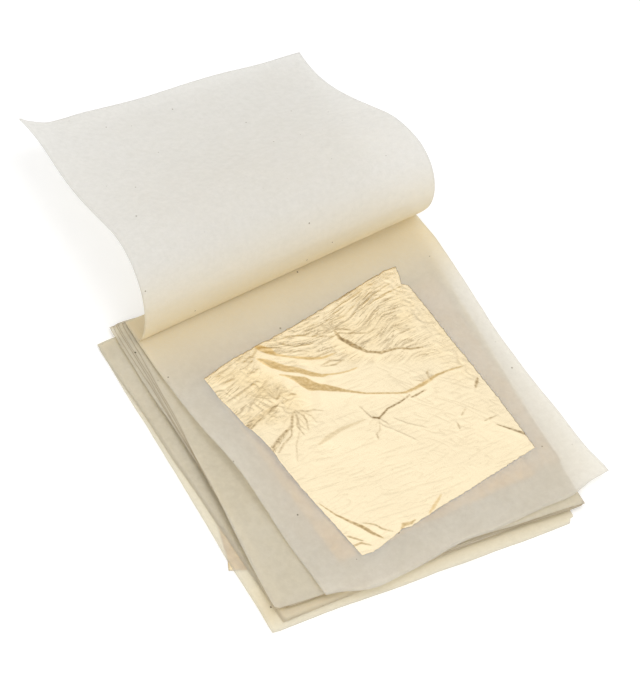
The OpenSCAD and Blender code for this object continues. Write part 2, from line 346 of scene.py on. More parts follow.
# Its fibres: scale, stretch and turn in degrees of the noise that each layer follows
FIBRES = ((0.35, (1, 5, 1), 12), (0.4, (5, 1, 1), -25), (0.3, (1, 4, 1), 55))
FIBRE_WIDTH = 0.014  # as a share of the noise's range
FIBRE_TONE = (1, 1, 0.97, 1)
FIBRE_SHOWS = 0.3
SPECK_CELLS = 0.11  # cells a millimetre in which a speck may lie
SPECK_SIZE = (0.012, 0.034)
SPECK_TONE = (0.14, 0.09, 0.04, 1)
SPECK_SHOWS = 0.8
THROUGH = (0.5, 0.3)  # share of light spread through, where tissue has none of the painted yellow shade and where it has it fully
CLEAR_SPREAD = 0.05  # how much clearer its thin places are
CLEAR_IN_YELLOW_SHADE = 0.4  # how clear it is where it has painted yellow shade, as a share of elsewhere

# Tissue: light and dark colour, tint of the light that passes through, tint of what is seen
# through it, and how clear it is
# The rolled tissue's copy is greyer and darker than the open one's: painted shade
ROLL_PAPER = (
    (0.92, 0.92, 0.915, 1), (0.885, 0.885, 0.87, 1), (1, 0.985, 0.95, 1), (1, 0.99, 0.97, 1), 0.42,
)
OPEN_PAPER = (
    (0.985, 0.975, 0.955, 1), (0.97, 0.95, 0.92, 1), (1, 0.975, 0.91, 1), (1, 0.985, 0.94, 1), 0.45,
)
STACK_PAPER = (
    (0.99, 0.975, 0.93, 1), (0.975, 0.955, 0.90, 1), (1, 0.97, 0.87, 1), (1, 0.975, 0.91, 1), 0.45,
)
EDGE_SHADOW_WIDTH = 0.14  # how wide a painted shadow runs along the middle group's cut edges
NO_EDGE = 1  # a distance at which no painted edge shadow shows
# Colour of that painted edge shadow
EDGE_SHADOW_TONE = (0.70, 0.62, 0.50, 1)

# Painted yellow shade: the colour of tissue where light reaches it only through other tissue,
# close to the fold and along the lower group's near edges
YELLOW_SHADE = (1.0, 0.90, 0.67, 1)
FOLD_YELLOW = (22, 52)  # Y from where the open tissue gets painted yellow shade, and where it gets it fully
ROLL_YELLOW = 3.2  # how soon the curl loses it
LOWER_GROUP = 8  # the group's first tissue
NEAR_YELLOW = 0.55
NEAR_REACH = 22.0
RIM_REACH = 7.0  # the bottom tissue's rim stays pale

# Gold where it is flat, then painted shade: where it is finely crinkled, on steep folds, and in its
# creases
PALE_GOLD = (0.99, 0.845, 0.585, 1)
WARM_SHADE_GOLD = (0.96, 0.77, 0.46, 1)
TAN_SHADE_GOLD = (0.88, 0.63, 0.29, 1)
CREASE_SHADE_GOLD = (0.28, 0.18, 0.075, 1)
GOLD_CLOUD = (0.09, 3, 0.6)  # noises: scale, detail and roughness
GOLD_GRAIN = (1.5, 4, 0.65)
GOLD_BUMP = {"Strength": 0.6, "Distance": 0.0001}  # metres
GOLD_ROUGHNESS = (0.18, 0.3)

# Seeds, one for each use of the noise, so that no two look the same
SEED = {
    "stack waves": 5, "slow wobble": 11, "fine wobble": 12, "sheet ripple": 20,
    "roll ripple": 31, "wander x": 46, "wander y": 48, "mottled": 49, "slow tear": 51,
    "fine tear": 52, "billow": 61, "covered u": 71, "covered v": 72, "covered crinkle": 80,
    "covered line": 90, "creases": 100, "breaks": 120, "knots": 130,
}


def lattice(ix, iy, seed):
    """A repeatable number from 0 to 1 for each whole-number place."""
    mixed = (ix * 374761393 + iy * 668265263 + seed * 974634777) & 0xFFFFFFFF
    mixed = ((mixed ^ (mixed >> 13)) * 1274126177) & 0xFFFFFFFF
    return ((mixed ^ (mixed >> 16)) & 0xFFFFFF) / 0xFFFFFF


def ease(t):
    return t * t * t * (t * (t * 6 - 15) + 10)


def noise(x, y, seed):
    """Smooth noise from about -1 to 1, with features about one unit wide."""
    x, y = np.broadcast_arrays(np.asarray(x, float), np.asarray(y, float))
    ix, iy = np.floor(x).astype(np.int64), np.floor(y).astype(np.int64)
    total = np.zeros(x.shape)
    for dx in (0, 1):
        for dy in (0, 1):
            angle = 2 * np.pi * lattice(ix + dx, iy + dy, seed)
            ax, ay = x - ix - dx, y - iy - dy
            slope = np.cos(angle) * ax + np.sin(angle) * ay
            total += slope * ease(1 - np.abs(ax)) * ease(1 - np.abs(ay))
    return total * 1.6


def smooth(t):
    t = np.clip(t, 0, 1)
    return t * t * (3 - 2 * t)


def fade(value, ends):
    """1 up to the first end, 0 from the second one on."""
    return smooth((ends[1] - value) / (ends[1] - ends[0]))


def onset(value, ends):
    """0 up to the first end, 1 from the second one on."""
    return smooth((value - ends[0]) / (ends[1] - ends[0]))


def soft_curve(table, x):
    """A smooth curve through the table's points, level at both ends."""
    places, values = np.array(table, float).T
    x = np.clip(x, places[0], places[-1])
    slopes = np.gradient(values, places)
    slopes[0] = slopes[-1] = 0
    k = np.clip(np.searchsorted(places, x) - 1, 0, len(places) - 2)
    step = places[k + 1] - places[k]
    t = (x - places[k]) / step
    level = values[k] * (1 + 2 * t) * (1 - t) ** 2 + values[k + 1] * t * t * (3 - 2 * t)
    return level + step * (slopes[k] * t * (1 - t) ** 2 - slopes[k + 1] * t * t * (1 - t))


def turned(x, y, degrees):
    """Coordinates along and across a heading."""
    c, s = math.cos(math.radians(degrees)), math.sin(math.radians(degrees))
    return x * c + y * s, -x * s + y * c


def to_sheet(number, x, y):
    """A tissue's own coordinates of places in the part's frame."""
    cx, cy, turn = SHEET_CUTS[number][:3]
    return turned(x - cx, y - cy, turn)


def to_frame(place, u, v):
    cx, cy, turn = place[:3]
    x, y = turned(u, v, -turn)
    return cx + x, cy + y


def air(number, x, y):
    """How far tissue number is raised at a place by the air under it and under those below."""
    total = np.zeros(np.shape(x))
    for sheet, side, heights, reach in EDGE_AIR:
        if sheet < number:
            continue
        u, v = to_sheet(sheet, x, y)
        inward, along = (u + HALF_SIDE, v) if side == "left" else (v + HALF_SIDE, u)
        share = np.clip(1 - inward / reach, 0, 1)
        total += soft_curve(heights, along) * share * smooth(share) * smooth(share * 2)
    ends = fade(y, AIR_ENDS_AT)
    height, long_x, long_y = STACK_WAVE
    waves = height * (1 + noise(x / long_x, y / long_y, SEED["stack waves"]))
    waves = waves * (BOTTOM_SHEET - number) / (BOTTOM_SHEET - OPEN_SHEET)
    return total * ends + waves * fade(y, WAVES_END_AT)


def level(node):
    """Height of a CAD node's underside."""
    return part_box(node)[0].z / MM


def edge_walk(points, count):
    """count + 1 evenly spread points along a line of points."""
    points = np.array(points, float)
    run = np.concatenate(([0], np.cumsum(np.linalg.norm(np.diff(points, axis=0), axis=1))))
    at = np.linspace(0, run[-1], count + 1)
    return np.stack([np.interp(at, run, points[:, 0]), np.interp(at, run, points[:, 1])], 1)


def patch(left, right, near, far):
    """A grid of points that fills four edges, in rows from the far edge to the near one."""
    t = np.linspace(0, 1, len(left))[:, None, None]
    s = np.linspace(0, 1, len(near))[None, :, None]
    across = (1 - s) * left[:, None] + s * right[:, None]
    along = (1 - t) * far[None] + t * near[None]
    far_corners = (1 - s) * far[0] + s * far[-1]
    near_corners = (1 - s) * near[0] + s * near[-1]
    return across + along - (1 - t) * far_corners - t * near_corners


def shell(name, top, thickness, attributes):
    """A closed thin sheet under a grid of points in millimetres, with {attribute: grid}."""
    rows, columns = top.shape[:2]
    count = rows * columns
    normal = np.cross(np.gradient(top, axis=0), np.gradient(top, axis=1))
    normal /= np.linalg.norm(normal, axis=2, keepdims=True)
    points = np.concatenate([top.reshape(-1, 3), (top - normal * thickness).reshape(-1, 3)]) * MM
    index = np.arange(count).reshape(rows, columns)
    corners = [index[:-1, :-1], index[1:, :-1], index[1:, 1:], index[:-1, 1:]]
    upper = np.stack(corners, -1).reshape(-1, 4)
    lower = upper[:, ::-1] + count
    rim = np.concatenate([index[0, :0:-1], index[:-1, 0], index[-1, :-1], index[:0:-1, -1]])
    ahead = np.roll(rim, -1)
    sides = np.stack([rim, ahead, ahead + count, rim + count], 1)
    mesh = bpy.data.meshes.new(name)
    mesh.from_pydata(points.tolist(), [], np.concatenate([upper, lower, sides[:, ::-1]]).tolist())
    for key, values in attributes.items():
        flat = np.asarray(values, np.float32).reshape(count, -1)
        kind, field = ("FLOAT_VECTOR", "vector") if flat.shape[1] == 3 else ("FLOAT", "value")
        made = mesh.attributes.new(key, kind, "POINT")
        made.data.foreach_set(field, np.concatenate([flat, flat]).ravel())
    mesh.shade_smooth()
    mesh.update()
    piece = bpy.data.objects.new(name, mesh)
    bpy.context.scene.collection.objects.link(piece)
    return piece


def place_attribute(u, v, seed):
    """Where each point is on its own sheet, moved aside so that no two sheets look the same."""
    stride_u, stride_v = SHEET_STRIDE
    return np.stack([u + stride_u * seed, v + stride_v * seed, np.zeros(u.shape)], -1)


def inset(grid):
    """Distance of each grid point from the nearest edge of its sheet."""
    down = np.linalg.norm(np.diff(grid, axis=0, prepend=grid[:1]), axis=2)
    over = np.linalg.norm(np.diff(grid, axis=1, prepend=grid[:, :1]), axis=2)
    down, over = np.cumsum(down, axis=0), np.cumsum(over, axis=1)
    return np.minimum.reduce([down, down[-1] - down, over, over[:, -1:] - over])


def edge_wobble(at, number, side):
    """How far a tissue's cut edge strays from a straight line."""
    slow = SLOW_WOBBLE[0] * noise(at / SLOW_WOBBLE[1], number * 3.7 + side, SEED["slow wobble"])
    fine = FINE_WOBBLE[0] * noise(at / FINE_WOBBLE[1], number * 5.3 + side, SEED["fine wobble"])
    return slow + fine


def worn_corners(number, u, v):
    """The grid with its corners drawn in a little."""
    for across in (-1, 1):
        for along in (-1, 1):
            worn = number == BOTTOM_SHEET and (across, along) == (1, -1)
            depth = WORN_CORNER if worn else CORNER_ROUND
            distance = np.hypot(u * across - HALF_SIDE, v * along - HALF_SIDE)
            near_corner = np.clip(1 - distance / CORNER_REACH, 0, 1) ** 2
            u = u - across * depth * near_corner
            v = v - along * depth * near_corner
    return u, v


def cut_tissue(number):
    """A flat grid of points within a tissue's four cut edges, in its own coordinates."""
    trim_right, trim_near = SHEET_CUTS[number][3:]
    steps = np.linspace(-HALF_SIDE, HALF_SIDE, SHEET_CELLS + 1)
    left = -HALF_SIDE + edge_wobble(-steps, number, 0)
    right = HALF_SIDE - trim_right + edge_wobble(-steps, number, 1)
    near = -HALF_SIDE + trim_near + edge_wobble(steps, number, 2)
    far = HALF_SIDE + edge_wobble(steps, number, 3)
    if number == OPEN_SHEET:
        left = left - soft_curve(OPEN_LEFT, -steps)
        right = right + soft_curve(OPEN_RIGHT, -steps)
        near = near - soft_curve(OPEN_NEAR, steps)
    first, last = MIDDLE_GROUP
    if first <= number <= last:
        depth = (number - first) / (last - first)
        out = (1 - depth) * soft_curve(TOP_LEFT, -steps) + depth * soft_curve(BOTTOM_LEFT, -steps)
        left = left - out
    if number == first:
        near = near - soft_curve(TOP_NEAR, steps)
    cells = SHEET_CELLS + 1
    left_edge = np.stack([left, np.linspace(far[0], near[0], cells)], 1)
    right_edge = np.stack([right, np.linspace(far[-1], near[-1], cells)], 1)
    near_edge = np.stack([np.linspace(left[-1], right[-1], cells), near], 1)
    far_edge = np.stack([np.linspace(left[0], right[0], cells), far], 1)
    grid = patch(left_edge, right_edge, near_edge, far_edge)
    return worn_corners(number, grid[..., 0], grid[..., 1])


def painted_yellow_share(number, v, y):
    """Painted yellow shade of a tissue: the open one's by its fold, the lower ones' in front."""
    if number < LOWER_GROUP:
        return onset(y, FOLD_YELLOW) * (number == OPEN_SHEET)
    rim = smooth((v + HALF_SIDE) / RIM_REACH) if number == BOTTOM_SHEET else 1
    return NEAR_YELLOW * rim * smooth(1 - (v + HALF_SIDE) / NEAR_REACH)


def tissue(number):
    """A tissue of the stack, over the air and the layers that lie below it."""
    u, v = cut_tissue(number)
    x, y = to_frame(SHEET_CUTS[number], u, v)
    height, long_u, long_v = SHEET_RIPPLE
    ripple = height * noise(u / long_u, v / long_v, SEED["sheet ripple"] + number)
    z = level(f"tissue_{number:02d}") + SHEET_THICKNESS + air(number, x, y) + ripple
    top = np.stack([x, y, z], -1)
    # Only the middle group's tissues get the painted edge shadow
    edge = inset(top) if MIDDLE_GROUP[0] <= number <= MIDDLE_GROUP[1] else NO_EDGE + 0 * u
    # Painted yellow shade near the fold and along the lower group's near edges
    attributes = {"warm_shade": painted_yellow_share(number, v, y), "inset": edge}
    attributes["place"] = place_attribute(u, v, number)
    piece = shell(f"tissue_sheet_{number:02d}", top, SHEET_THICKNESS, attributes)
    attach(piece, SHEET_BODIES[number])
    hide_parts(f"tissue_{number:02d}")
    return piece


def roll_edge(start, strip, curl, headings, drift, rows, strip_rows):
    """One side edge of the rolled-back tissue, from the far end of its flat strip to its tip."""
    places, turns = np.array(headings, float).T
    step = curl / rows
    points = [
        (start[0], start[1] + strip * (1 - k / strip_rows), FOLD_LEVEL) for k in range(strip_rows)
    ]
    y, z = start[1], FOLD_LEVEL
    points.append((start[0], y, z))
    for i in range(rows):
        heading = math.radians(float(np.interp((i + 0.5) * step, places, turns)))
        y, z = y - step * math.cos(heading), z + step * math.sin(heading)
        points.append((start[0] + drift * (i + 1) / rows, y, z))
    return np.array(points)


def rolled_tissue():
    """The top tissue, turned back over its far edge."""
    columns, rows, strip_rows = ROLL_CELLS
    left = roll_edge(FOLD_LEFT, STRIP[0], CURL[0], LEFT_HEADINGS, DRIFT[0], rows, strip_rows)
    right = roll_edge(FOLD_RIGHT, STRIP[1], CURL[1], RIGHT_HEADINGS, DRIFT[1], rows, strip_rows)
    share = np.linspace(0, 1, columns + 1)[None, :]
    run = np.clip((np.arange(rows + strip_rows + 1) - strip_rows) / rows, 0, 1)[:, None]
    top = left[:, None] * (1 - share[..., None]) + right[:, None] * share[..., None]
    sag = soft_curve(FAR_SAG, share) * run**2
    drooping = np.clip((run - DROOP_START) / (1 - DROOP_START), 0, 1) ** 2
    droop = soft_curve(FAR_DROOP, share) * drooping
    ripple = ROLL_RIPPLE * smooth(run * 4) * smooth((1 - run) * 9)
    ripple = ripple * noise(share * 5 + run * 1.5, run * 4 - share, SEED["roll ripple"])
    top[..., 2] += ripple - sag - droop
    across = (share - 0.5) * 2 * HALF_SIDE + 0 * run
    along = (run - 0.5) * 2 * HALF_SIDE + 0 * share
    # Painted yellow shade on the curl close to the fold
    warm_shade = smooth(1 - run * ROLL_YELLOW) + 0 * share
    attributes = {"warm_shade": warm_shade, "inset": NO_EDGE + 0 * warm_shade}
    attributes["place"] = place_attribute(across, along, 1)
    piece = shell("tissue_roll", top, SHEET_THICKNESS, attributes)
    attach(piece, "turned_back_sheet")
    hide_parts("tissue_01_turned_back")
    return piece


def fold_field(x, y, points, rise):
    """Height of one fold, with how far a place is on its steep far face, on the left of the
    points, and on its long near slope."""
    table = np.array(points, float)
    nearest = np.full(x.shape, 1e9)
    signed = np.zeros(x.shape)
    width = np.ones(x.shape)
    for (ax, ay, start_width), (bx, by, end_width) in zip(table[:-1], table[1:]):
        length = math.hypot(bx - ax, by - ay)
        dx, dy = (bx - ax) / length, (by - ay) / length
        t = np.clip((x - ax) * dx + (y - ay) * dy, 0, length)
        ex, ey = x - ax - t * dx, y - ay - t * dy
        distance = np.hypot(ex, ey)
        closer = distance < nearest
        nearest = np.where(closer, distance, nearest)
        signed = np.where(closer, np.copysign(distance, dx * ey - dy * ex), signed)
        width = np.where(closer, start_width + (end_width - start_width) * t / length, width)
    drawn = np.maximum(FACE_WIDTH * width, FACE_WIDTH * LEAF_CELL)
    s = signed / drawn
    far_face = np.clip(0.5 - s, 0, 1)
    near_slope = np.exp(-((np.minimum(s + 0.5, 0) / SLOPE_LENGTH) ** 2))
    height = rise * width * np.where(s > -0.5, far_face, near_slope)
    face = np.clip((0.5 - np.abs(s)) * drawn / FACE_RIM + 0.5, 0, 1)
    face = face * np.clip(width / THIN_FOLD, 0, 1)
    return height, face, np.where(s < -0.5, near_slope, 0) * np.clip(width, 0, 1)


def crease_line(field, width):
    """1 along the zero line of a field, fading within about width millimetres of it."""
    slope = np.hypot(*np.gradient(field)) / LEAF_CELL
    return np.exp(-((field / (slope + 0.03) / width) ** 2))


def crease_strengths(x, y):
    """How strong each layer of fine creases is over the open leaf."""
    start, fall, length = BEYOND_FOLD
    above = smooth((y - start + fall * x) / length)
    corner = fade(x, FAR_LEFT[0]) * onset(y, FAR_LEFT[1])
    right = onset(x, FAR_RIGHT[0]) * onset(y, FAR_RIGHT[1])
    away = [np.hypot(x - knot[0], y - knot[1]) for knot in KNOTS[:2]]
    knots = sum(np.exp(-(distance / KNOT_REACH) ** 2) for distance in away)
    anywhere, by_right, by_knots, by_corner = CRUMPLED
    crumple = anywhere + by_right * right + by_knots * knots + by_corner * corner
    hatched = [fold_field(x, y, points, 1)[1] for points in WEDGES]
    return {
        "arcs": above * onset(x, ARCS_FROM) * (1 - 0.8 * right),
        "close_arcs": above * (1 - 0.7 * right),
        "fine_arcs": above * onset(x, FINE_ARCS_FROM) * (1 - 0.7 * right),
        "lower": 1 - above,
        "fine_lower": 1 - above,
        "slanted": (1 - above) * onset(x, SLANTED[0]) * onset(y, SLANTED[1]),
        "corner": corner,
        "crumple": np.clip(crumple, 0, 1),
        "hatch": hatched[0],
        "steep_hatch": hatched[1],
    }


def flow(x, y, bend):
    """Places on the open leaf, moved so that straight lines become its wandering arcs."""
    wander_x = WANDER * noise(x / WANDER_LENGTH, y / WANDER_LENGTH, SEED["wander x"])
    wander_y = WANDER * noise(x / WANDER_LENGTH, y / WANDER_LENGTH, SEED["wander y"])
    bent = y - bend * np.clip(x, *ARC_ENDS) ** 2
    return np.stack([x + wander_x, bent + wander_y, 0 * x], -1)


def fine_creases(x, y, strengths):
    """Heights and painted shade of the open leaf's fine creases."""
    height, line = np.zeros(x.shape), np.zeros(x.shape)
    break_along, break_across = CREASE_BREAKS
    for seed, (name, row) in enumerate(CREASES.items()):
        heading, length, spacing, bend, depth, shade = row
        moved = flow(x, y, bend)
        along, across = turned(moved[..., 0], moved[..., 1], heading)
        field = noise(along / length, across / spacing, SEED["creases"] + seed)
        breaks = noise(along / break_along, across / break_across, SEED["breaks"] + seed)
        broken = smooth(0.4 + 1.3 * breaks)
        strong = strengths[name] * (0.15 + 0.85 * broken)
        height += strong * depth * (0.9 * np.abs(field) - crease_line(field, CREASE_WIDTH))
        line = np.maximum(line, strong * shade * crease_line(field, CREASE_LINE))
    return height, line


def knot_creases(x, y):
    """Heights and painted shade of the fine creases that run out from the knots."""
    height, line = np.zeros(x.shape), np.zeros(x.shape)
    for k, (cx, cy, first, last, count, longest) in enumerate(KNOTS):
        for i in range(count):
            turn, size, bend = (float(lattice(i, k, SEED["knots"] + use)) for use in range(3))
            heading = math.radians(first + (last - first) * (i + 0.7 * turn) / count)
            reach = longest * (0.35 + 0.65 * size)
            points = []
            for run, bent, width in KNOT_CREASE:
                angle = heading + 0.8 * (bend - 0.5) * bent
                away = run * reach
                points.append((cx + away * math.cos(angle), cy + away * math.sin(angle), width))
            crest, face = fold_field(x, y, points, KNOT_RISE)[:2]
            height = np.maximum(height, crest)
            line = np.maximum(line, KNOT_SHADE * (0.4 + 0.6 * turn) * face)
    return height, line


def torn_edge(points, k, axis):
    """One edge of the open leaf, with its ragged tears."""
    edge = edge_walk(points, LEAF_CELLS)
    steps = np.arange(LEAF_CELLS + 1)
    ends = smooth(np.minimum(steps, LEAF_CELLS - steps) / 6)
    slow = SLOW_TEAR[0] * noise(steps / SLOW_TEAR[1], k * 7.1, SEED["slow tear"])
    fine = FINE_TEAR[0] * noise(steps / FINE_TEAR[1], k * 3.3, SEED["fine tear"])
    edge[:, axis] += ends * (slow + fine)
    return edge


def relief(x, y, strengths):
    """All folds and creases of the open leaf: height, painted dark and tan shade, and near slopes.
    """
    height, line = fine_creases(x, y, strengths)
    knot_height, knot_line = knot_creases(x, y)
    height, line = height + knot_height, np.maximum(line, knot_line)
    long_x, long_y = FACE_MOTTLE
    mottled = np.clip(0.8 + 0.7 * noise(x / long_x, y / long_y, SEED["mottled"]), 0.25, 1.2)
    slopes = np.zeros(x.shape)
    wedges = np.maximum(strengths["hatch"], strengths["steep_hatch"])
    band = WEDGE_TAN * wedges
    line = np.maximum(line, WEDGE_DARK * wedges * mottled)
    for points, tan, dark in FOLDS:
        crest, face, slope = fold_field(x, y, points, FOLD_RISE)
        height = height * (1 - 0.7 * slope) + crest
        slopes = np.maximum(slopes, 0.8 * slope)
        line = np.maximum(line * (1 - 0.85 * slope) * (1 - tan * face), dark * face * mottled)
        band = np.maximum(band * (1 - 0.8 * slope), tan * face * (0.6 + 0.4 * mottled))
    return height, line, band, slopes


def open_leaf():
    """The leaf that lies open, crinkled as it was laid."""
    left, right = torn_edge(LEAF_LEFT, 0, 0), torn_edge(LEAF_RIGHT, 1, 0)
    near, far = torn_edge(LEAF_NEAR, 2, 1), torn_edge(LEAF_FAR, 3, 1)
    grid = patch(left, right, near, far)
    x, y = grid[..., 0], grid[..., 1]
    strengths = crease_strengths(x, y)
    height, line, band, slopes = relief(x, y, strengths)
    crinkled = strengths["arcs"] + strengths["corner"] + strengths["crumple"]
    # Painted warm shade where the leaf is crinkled
    warm_shade = CRINKLE_WARM_SHADE * crinkled
    edge = inset(np.stack([x, y, 0 * x], -1))
    rise, long_x, long_y = LEAF_BILLOW
    billow = rise * (1 + noise(x / long_x, y / long_y, SEED["billow"]))
    billow = billow * smooth(edge / BILLOW_REACH)
    under = level("tissue_02") + SHEET_THICKNESS + air(OPEN_SHEET, x, y) + LEAF_GAP
    height = np.maximum(height * smooth(0.25 + edge / 3), -np.minimum(billow, DEEPEST))
    z = under + LEAF_THICKNESS + billow + height
    clear = 1 - np.clip(band + slopes, 0, 1)
    attributes = {
        "line": np.clip(line, 0, 1), "band": np.clip(band, 0, 1), "warm_shade": np.clip(warm_shade, 0, 1),
        "place": place_attribute(x, y, 1), "flow": flow(x, y, CREASES["arcs"][3]),
        "arcs": strengths["close_arcs"] * clear, "corner": strengths["corner"] * clear,
        "crumple": strengths["crumple"] * clear, "smooth": strengths["lower"] * clear,
        "hatch": strengths["hatch"], "steep_hatch": strengths["steep_hatch"],
    }
    piece = shell("gold_leaf_open", np.stack([x, y, z], -1), LEAF_THICKNESS, attributes)
    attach(piece, "open_leaf")
    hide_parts("gold_leaf_01")
    return piece


def covered_leaf(number):
    """A leaf between two tissues, or the last one under the bottom tissue."""
    half = LEAF_SIDE / 2
    steps = np.linspace(-half, half, COVERED_CELLS + 1)
    u, v = np.meshgrid(steps, -steps)
    if number == LAST_LEAF:
        u = u - PEEK_OUT * np.clip(1 - np.hypot(u + half, v + half) / PEEK_REACH, 0, 1)
    stray, length = COVERED_WOBBLE
    u = u + stray * noise(v / length, number, SEED["covered u"])
    v = v + stray * noise(u / length, number + 0.5, SEED["covered v"])
    x, y = to_frame(LEAF_PLACES[number], u, v)
    lift = air(number + 1, x, y) if number < LAST_LEAF else FLOOR_GAP
    rise, long_u, long_v = COVERED_CRINKLE
    crinkle = rise * (1 + noise(u / long_u, v / long_v, SEED["covered crinkle"] + number))
    z = level(f"gold_leaf_{number:02d}") + LEAF_THICKNESS + lift + crinkle
    # Painted shade: warm, tan and creased where tissue covers the leaf, none where its corner peeks
    # out
    hidden = smooth(np.hypot(x - PEEK[0], y - PEEK[1]) / PEEK_REACH)
    dark, long_u, long_v, width = COVERED_LINE
    creases = crease_line(noise(u / long_u, v / long_v, SEED["covered line"]), width)
    attributes = {"line": dark * creases * hidden, "band": COVERED_TAN * hidden, "warm_shade": hidden}
    attributes["place"] = place_attribute(u, v, number)
    top = np.stack([x, y, z], -1)
    piece = shell(f"gold_leaf_covered_{number:02d}", top, LEAF_THICKNESS, attributes)
    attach(piece, LEAF_BODIES[number])
    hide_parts(f"gold_leaf_{number:02d}")
    return piece


class Nodes:
    """A short way to write the nodes of a material or the world."""

    def __init__(self, owner):
        owner.use_nodes = True
        self.owner = owner
        self.tree = owner.node_tree
        self.tree.nodes.clear()

    def put(self, value, socket):
        if isinstance(value, bpy.types.NodeSocket):
            self.tree.links.new(value, socket)
        else:
            socket.default_value = value

    def add(self, kind, settings=None, inputs=None):
        """A node, with {property: value} and {input name or number: value or socket}."""
        node = self.tree.nodes.new(kind)
        for key, value in (settings or {}).items():
            setattr(node, key, value)
        for key, value in (inputs or {}).items():
            self.put(value, node.inputs[key])
        return node

    def attribute(self, name, output):
        return self.add("ShaderNodeAttribute", {"attribute_name": name}).outputs[output]

    def texture(self, scale, detail, rough, stretch=(1, 1, 1), turn=0.0, place="place"):
        inputs = {"Vector": self.attribute(place, "Vector"), "Rotation": (0, 0, math.radians(turn))}
        vector = self.add("ShaderNodeMapping", inputs=inputs).outputs[0]
        inputs = {"Vector": vector, "Scale": stretch}
        vector = self.add("ShaderNodeMapping", inputs=inputs).outputs[0]
        inputs = {"Vector": vector, "Scale": scale, "Detail": detail, "Roughness": rough}
        return self.add("ShaderNodeTexNoise", inputs=inputs).outputs["Fac"]

    def ramp(self, value, low, high, to_low=0.0, to_high=1.0):
        inputs = {0: value, 1: low, 2: high, 3: to_low, 4: to_high}
        settings = {"interpolation_type": "SMOOTHSTEP"}
        return self.add("ShaderNodeMapRange", settings, inputs).outputs[0]

    def math(self, operation, a, b=0.0):
        return self.add("ShaderNodeMath", {"operation": operation}, {0: a, 1: b}).outputs[0]

    def blend(self, share, a, b, way="MIX"):
        settings = {"data_type": "RGBA", "blend_type": way}
        return self.add("ShaderNodeMix", settings, {0: share, 6: a, 7: b}).outputs[2]

    def number(self, share, a, b):
        return self.add("ShaderNodeMix", {"data_type": "FLOAT"}, {0: share, 2: a, 3: b}).outputs[0]

    def mix(self, share, a, b):
        inputs = {0: share, 1: a.outputs[0], 2: b.outputs[0]}
        return self.add("ShaderNodeMixShader", inputs=inputs)

    def finish(self, shader, output="ShaderNodeOutputMaterial"):
        self.add(output, inputs={"Surface": shader.outputs[0]})
        return self.owner


def fibres(n):
    """Long fibres, each a thin line where a stretched noise crosses its middle."""
    lines = []
    for scale, stretch, turn in FIBRES:
        wave = n.texture(scale, 2.5, 0.5, stretch, turn)
        away = n.math("ABSOLUTE", n.math("SUBTRACT", wave, 0.5))
        lines.append(n.ramp(away, 0.0, FIBRE_WIDTH, 1.0, 0.0))
    return n.math("MAXIMUM", n.math("MAXIMUM", lines[0], lines[1]), lines[2])


def specks(n):
    """A few dark specks, in one cell of five."""
    inputs = {"Vector": n.attribute("place", "Vector"), "Scale": SPECK_CELLS}
    cells = n.add("ShaderNodeTexVoronoi", {"voronoi_dimensions": "2D"}, inputs)
    draw = n.add("ShaderNodeSeparateColor", inputs={0: cells.outputs["Color"]})
    chosen = n.ramp(draw.outputs[0], 0.85, 0.86)
    size = n.ramp(draw.outputs[1], 0.0, 1.0, *SPECK_SIZE)
    spot = n.math("LESS_THAN", cells.outputs["Distance"], size)
    return n.math("MULTIPLY", spot, chosen)


def paper(name, light, dark, through_light, clear_light, clear):
    """Thin long-fibred tissue: cloudy, with fibres and specks; light passes through it."""
    n = Nodes(bpy.data.materials.new(name))
    cloud, mottle, grain = n.texture(*CLOUD), n.texture(*MOTTLE), n.texture(*GRAIN)
    fibre = fibres(n)
    tone = n.math("ADD", n.ramp(cloud, 0.3, 0.7, 0.0, 0.5), n.ramp(mottle, 0.3, 0.7, 0.0, 0.5))
    colour = n.blend(tone, dark, light)
    warm_shade = n.attribute("warm_shade", "Fac")
    # Painted yellow shade where the tissue's attribute asks for it, which also changes how light
    # passes
    colour = n.blend(warm_shade, colour, YELLOW_SHADE)
    colour = n.blend(n.math("MULTIPLY", fibre, FIBRE_SHOWS), colour, FIBRE_TONE)
    colour = n.blend(n.math("MULTIPLY", specks(n), SPECK_SHOWS), colour, SPECK_TONE)
    # Painted shadow along the middle group's cut edges
    edge = n.math("LESS_THAN", n.attribute("inset", "Fac"), EDGE_SHADOW_WIDTH)
    colour = n.blend(edge, colour, EDGE_SHADOW_TONE)
    rise = n.math("ADD", grain, n.math("MULTIPLY", fibre, 0.4))
    normal = n.add("ShaderNodeBump", inputs={**PAPER_BUMP, "Height": rise}).outputs[0]
    inputs = {"Base Color": colour, **PAPER_SURFACE, "Normal": normal}
    body = n.add("ShaderNodeBsdfPrincipled", inputs=inputs)
    glow = n.blend(1.0, colour, through_light, "MULTIPLY")
    through = n.add("ShaderNodeBsdfTranslucent", inputs={"Color": glow, "Normal": normal})
    sheet = n.mix(n.ramp(warm_shade, 0.0, 1.0, *THROUGH), body, through)
    see_through = n.add("ShaderNodeBsdfTransparent", inputs={"Color": clear_light})
    thick = n.math("ADD", cloud, n.math("MULTIPLY", mottle, 0.6))
    share = n.ramp(thick, 0.5, 1.1, clear + CLEAR_SPREAD, clear - CLEAR_SPREAD)
    share = n.math("MULTIPLY", share, n.ramp(warm_shade, 0.0, 1.0, 1.0, CLEAR_IN_YELLOW_SHADE))
    return n.finish(n.mix(share, sheet, see_through))


